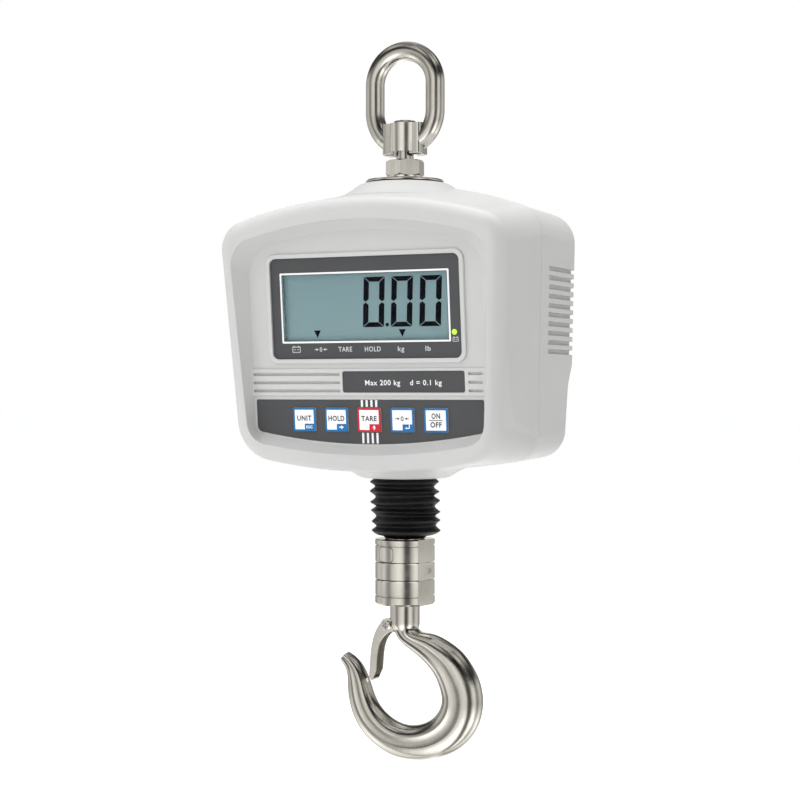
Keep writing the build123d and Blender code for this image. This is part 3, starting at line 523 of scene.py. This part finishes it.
def prism(outline, level, thick=THIN):
    """Thin closed plate from an outline on the panel."""
    count = len(outline)
    verts = [(x, y, level) for x, y in outline] + [(x, y, level + thick) for x, y in outline]
    sides = [(i, (i + 1) % count, (i + 1) % count + count, i + count) for i in range(count)]
    return verts, [tuple(range(count))[::-1], tuple(range(count, 2 * count))] + sides


def band(outer, inner, level, thick=THIN):
    """Thin closed frame between two outlines with the same number of points."""
    n = len(outer)
    verts = []
    for height in (level, level + thick):
        verts += [(x, y, height) for x, y in outer] + [(x, y, height) for x, y in inner]
    faces = []
    for i in range(n):
        j = (i + 1) % n
        faces += [(i, n + i, n + j, j), (2 * n + i, 2 * n + j, 3 * n + j, 3 * n + i),
                  (i, j, 2 * n + j, 2 * n + i), (n + i, 3 * n + i, 3 * n + j, n + j)]
    return verts, faces


def rounded(left, right, low, high, radius, steps=5):
    """Outline of a rounded rectangle."""
    points = []
    for cx, cy, start in ((right - radius, high - radius, 0), (left + radius, high - radius, 90),
                          (left + radius, low + radius, 180), (right - radius, low + radius, 270)):
        for i in range(steps + 1):
            angle = math.radians(start + 90 * i / steps)
            points.append((cx + radius * math.cos(angle), cy + radius * math.sin(angle)))
    return points


def bar(left, right, low, high, level, thick=THIN):
    return prism([(left, low), (right, low), (right, high), (left, high)], level, thick)


def frame_ring(left, right, low, high, radius, width, level):
    """Rounded rectangular line of a given width, measured inwards."""
    inner = rounded(left + width, right - width, low + width, high - width, max(radius - width, 0.05))
    return band(rounded(left, right, low, high, radius), inner, level)


def text_mesh(words, x, y, cap, level, width=None, weight=0.012):
    """Lettering centred on a point, with a given height of capitals and, if set, a given width."""
    curve = bpy.data.curves.new("lettering", "FONT")
    curve.body = words
    curve.align_x = "CENTER"
    curve.resolution_u = 3
    curve.offset = weight
    curve.space_character = 1.12
    holder = bpy.data.objects.new("lettering", curve)
    bpy.context.scene.collection.objects.link(holder)
    flat = bpy.data.meshes.new_from_object(holder.evaluated_get(bpy.context.evaluated_depsgraph_get()))
    bm = bmesh.new()
    bm.from_mesh(flat)
    bmesh.ops.remove_doubles(bm, verts=bm.verts, dist=1e-5)
    raised = bmesh.ops.extrude_face_region(bm, geom=bm.faces[:])
    top = [v for v in raised["geom"] if isinstance(v, bmesh.types.BMVert)]
    for vert in top:
        vert.co.z += 1.0
    bm.verts.index_update()
    xs = [v.co.x for v in bm.verts]
    scale = cap / CAPITAL
    across = width / (max(xs) - min(xs)) if width else scale
    middle = (max(xs) + min(xs)) / 2
    foot = y - cap / 2
    verts = [(x + (v.co.x - middle) * across, foot + v.co.y * scale, level + v.co.z * THIN) for v in bm.verts]
    faces = [tuple(v.index for v in f.verts) for f in bm.faces]
    bm.free()
    bpy.data.objects.remove(holder)
    bpy.data.meshes.remove(flat)
    bpy.data.curves.remove(curve)
    return verts, faces


def arrow(x, y, length, direction, level, weight=0.55):
    """Small arrow centred on a point; direction is in degrees, 0 to the right."""
    head = weight * 2.7
    tip, neck, flank = length / 2, length / 2 - head, head * 0.62
    outline = [(-tip, -weight / 2), (neck, -weight / 2), (neck, -flank), (tip, 0), (neck, flank),
               (neck, weight / 2), (-tip, weight / 2)]
    c, s = math.cos(math.radians(direction)), math.sin(math.radians(direction))
    return prism([(x + px * c - py * s, y + px * s + py * c) for px, py in outline], level)


def return_arrow(x, y, size, level, weight=0.45):
    """Arrow that comes down and turns left."""
    left, right = x - size / 2, x + size / 2
    stem = bar(right - weight, right, y, y + size * 0.7, level)
    shaft = bar(left + 0.9, right, y - weight / 2, y + weight / 2, level + THIN / 4)
    head = prism([(left, y), (left + 1.1, y - 0.75), (left + 1.1, y + 0.75)], level)
    return gather(stem, shaft, head)


def battery_mark(x, y, width, height, level, weight=0.4):
    """Outline of a battery with two poles."""
    top = y + height / 2
    case = frame_ring(x - width / 2, x + width / 2, y - height / 2, top, 0.3, weight, level)
    poles = [bar(px - 0.45, px + 0.45, top - 0.01, top + 0.5, level)
             for px in (x - width * 0.28, x + width * 0.28)]
    minus = bar(x - width * 0.30, x - width * 0.08, y - 0.18, y + 0.18, level)
    plus = bar(x + width * 0.08, x + width * 0.32, y - 0.18, y + 0.18, level)
    return gather(case, minus, plus, *poles)


def zero_mark(x, y, cap, level, spread=2.6):
    """Zero between two arrows that point at it."""
    return gather(text_mesh("0", x, y, cap, level), arrow(x - spread, y, cap, 0, level, 0.5),
                  arrow(x + spread, y, cap, 180, level, 0.5))


def lcd_digit(left, low, level):
    """Figure 0 in six segments with mitred ends, leaning a little to the right."""
    width, height, upright, level_bar = 14.1, 30.2, 3.6, 2.9
    gap, middle, lean, cut = 0.28, height / 2, 0.062, 1.5
    shapes = [[(gap, height), (width - gap, height), (width - upright - gap, height - level_bar),
               (upright + gap, height - level_bar)]]
    shapes.append([(px, height - py) for px, py in shapes[0]])
    stroke = [(0, height - gap), (upright, height - level_bar - gap), (upright, middle + gap + cut),
              (upright * 0.45, middle + gap), (0, middle + gap + cut * 0.7)]
    for outline in (stroke, [(px, height - py) for px, py in stroke]):
        shapes.append(outline)
        shapes.append([(width - px, py) for px, py in outline])
    leaning = [[(left + px + py * lean, low + py) for px, py in shape] for shape in shapes]
    return gather(*[prism(shape, level, SEGMENT_THICK) for shape in leaning])


def display_print():
    """Digits, pointers, the line around the display and the legends below it."""
    digits = [lcd_digit(left, 39.0, LCD_FACE) for left in (-2.2, 16.4, 35.2)]
    dot = prism(rounded(13.0, 15.3, 39.2, 41.5, 1.1), LCD_FACE, SEGMENT_THICK)
    pointers = [prism([(x - 2.4, 37.5), (x + 2.4, 37.5), (x, 33.0)], LCD_FACE, SEGMENT_THICK)
                for x in (-33.3, 23.9)]
    new_piece("lcd_segments", gather(dot, *digits, *pointers), SEGMENT, "housing", PANEL_MATRIX)
    words = [text_mesh(text, x, LEGEND_Y, 2.9, LABEL_FACE, width) for text, x, width in
             (("TARE", -13.3, 9.2), ("HOLD", 5.2, 10.6), ("kg", 24.0, 4.2), ("lb", 41.7, 3.4))]
    marks = [battery_mark(-46.8, LEGEND_Y, 5.6, 3.6, LABEL_FACE),
             zero_mark(-29.9, LEGEND_Y, 2.6, LABEL_FACE, 2.9),
             battery_mark(59.7, 31.0, 3.8, 2.4, LABEL_FACE, 0.3)]
    line = band(rounded(-56.4, 56.7, 29.9, 72.9, 0.6), rounded(-55.25, 55.55, 31.0, 71.8, 0.4), LABEL_FACE)
    new_piece("display_border", line, INK_WHITE, "housing", PANEL_MATRIX)
    new_piece("display_legends", gather(*words, *marks), INK_GREY, "housing", PANEL_MATRIX)
    text = text_mesh("Max 200 kg    d = 0.1 kg", 24.8, 5.7, 3.1, PLATE_FACE, 50.5)
    new_piece("capacity_legend", text, INK_WHITE, "housing", PANEL_MATRIX)


def keypad_print():
    """Plain white bars above and below the middle key."""
    bars = []
    for shift in (-4.8, -1.6, 1.6, 4.8):
        left, right = KEY_SHIFT + shift - 0.7, KEY_SHIFT + shift + 0.7
        for low, high in ((-9.1, -4.9), (-31.2, -24.8)):
            bars.append(bar(left, right, low, high, LABEL_FACE))
    new_piece("keypad_bars", gather(*bars), INK_WHITE, "housing", PANEL_MATRIX)


def key_border(x, y, with_tab):
    """Border folded over the key's edge, and a tab in its lower right corner."""
    half_x, half_y = KEY_HALF
    outer = rounded(x - half_x, x + half_x, y - half_y, y + half_y, 1.0)
    inner = rounded(x - half_x + BORDER, x + half_x - BORDER, y - half_y + BORDER, y + half_y - BORDER, 0.2)
    fold = 0.45
    rim = band(outer, inner, KEY_FACE - fold, fold + THIN)
    if not with_tab:
        return rim
    tab = prism(rounded(x + 0.1, x + 6.6, y - 6.2, y - 2.5, 0.3, 2), KEY_FACE, THIN * 0.9)
    return gather(rim, tab)


def tab_symbol(i, x, y):
    """White sign on the corner tab of key i, just above the tab's ink."""
    level = KEY_FACE + THIN
    if i == 0:
        return text_mesh("ESC", x, y, 1.6, level, 4.4, BOLD)
    if i == 1:
        return arrow(x, y, 3.4, 0, level, 0.7)
    if i == 2:
        return arrow(x, y, 2.9, 90, level, 0.7)
    return return_arrow(x, y - 0.3, 3.2, level, 0.6)


def key_legend(i, x, y):
    """Dark legend of key i."""
    if i == 3:
        return zero_mark(x, y + 0.9, 2.8, KEY_FACE, 3.1)
    if i == 4:
        return gather(text_mesh("ON", x, y + 2.6, 3.1, KEY_FACE, 5.6, BOLD),
                      text_mesh("OFF", x, y - 2.6, 3.1, KEY_FACE, 7.4, BOLD),
                      bar(x - 4.4, x + 4.4, y - 0.22, y + 0.22, KEY_FACE))
    word, width = (("UNIT", 9.9), ("HOLD", 10.9), ("TARE", 10.4))[i]
    return text_mesh(word, x, y + 0.9, 3.0, KEY_FACE, width, BOLD)


def key_print():
    """Coloured border, corner tab and legend on each key; the middle key is red, the last has no tab."""
    for i, name in enumerate(KEY_NODES):
        x, y = KEY_SHIFT + KEY_PITCH * (i - 2), KEY_HEIGHT
        body, with_tab = name + "_body", i < 4
        ink = INK_RED if i == 2 else INK_BLUE
        new_piece(name + "_border", key_border(x, y, with_tab), ink, body, PANEL_MATRIX)
        if with_tab:
            new_piece(name + "_symbol", tab_symbol(i, x + 3.3, y - 4.5), INK_WHITE, body, PANEL_MATRIX)
        new_piece(name + "_legend", key_legend(i, x, y), INK_DARK, body, PANEL_MATRIX)


# --- bellows -----------------------------------------------------------------------------------------
def lathe(profile, steps, bend):
    """Turns a closed (radius, height) profile about Z; bend(angle, radius, height) gives x, y and z."""
    count = len(profile)
    verts = []
    for i in range(steps):
        angle = 2 * math.pi * i / steps
        verts += [bend(angle, r, z) for r, z in profile]
    faces = []
    for i in range(steps):
        for j in range(count):
            k, after = (j + 1) % count, ((i + 1) % steps) * count
            faces.append((i * count + j, after + j, after + k, i * count + k))
    return verts, faces


def bellows_piece():
    """Pleated boot, moulded a little unevenly, with soft crests and tight folds."""
    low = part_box("bellows")[0]
    crest, root, wall = 22.0, 17.7, 1.2
    top, cuff_top, bottom = -54.1 - CROWN / MM, -90.2 - CROWN / MM, low.z / MM
    pleats, outside, inside = 6, [], []
    pitch = (top - cuff_top) / (pleats - 0.1)
    for i in range(pleats):
        z = top - pitch * (i + 0.40)
        for share in (0.08, 0.3, 0.44, 0.5, 0.56, 0.7, 0.92):
            swell = (1 - abs(2 * share - 1)) ** 0.8
            outside.append((root + (crest - root) * swell, z + pitch * (0.5 - share)))
        inside += [(crest - wall, z), (root - wall, z - pitch / 2)]
    cuff = [(root - 2.4, cuff_top - 0.1), (13.05, cuff_top - 0.5), (13.05, bottom + 0.1),
            (11.55, bottom + 0.05), (11.55, cuff_top + 0.8)]
    neck = [(12.7, top - 1.3), (12.7, top + 4.4), (16.4, top + 4.4), (16.4, top + 3.2),
            (13.9, top + 3.1), (13.9, top)]
    profile = [(20.6, top)] + outside + cuff + inside[::-1] + neck

    def bend(angle, r, z):
        depth = min(max((top - z) / (top - cuff_top), 0.0), 1.0)
        loose = math.sin(math.pi * depth)
        pleat = r > 15
        uneven = 0.30 * math.sin(angle * 2 + z * 0.9) * loose if pleat else 0.0
        tilt = 0.55 * math.sin(angle + 0.45 * z) * loose if pleat else 0.0
        shift = (2.0 * depth - 0.7) * loose ** 0.3 if pleat else 0.0
        r += uneven
        return (r * math.cos(angle) + shift) * MM, r * math.sin(angle) * MM, (z + tilt) * MM

    piece = new_piece("bellows_boot", lathe(profile, 128, bend), RUBBER, "housing")
    piece.data.shade_smooth()
    smooth = piece.modifiers.new("smooth", "SUBSURF")
    smooth.levels = 1
    smooth.render_levels = 1
    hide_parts("bellows")


display_print()
keypad_print()
key_print()
bellows_piece()
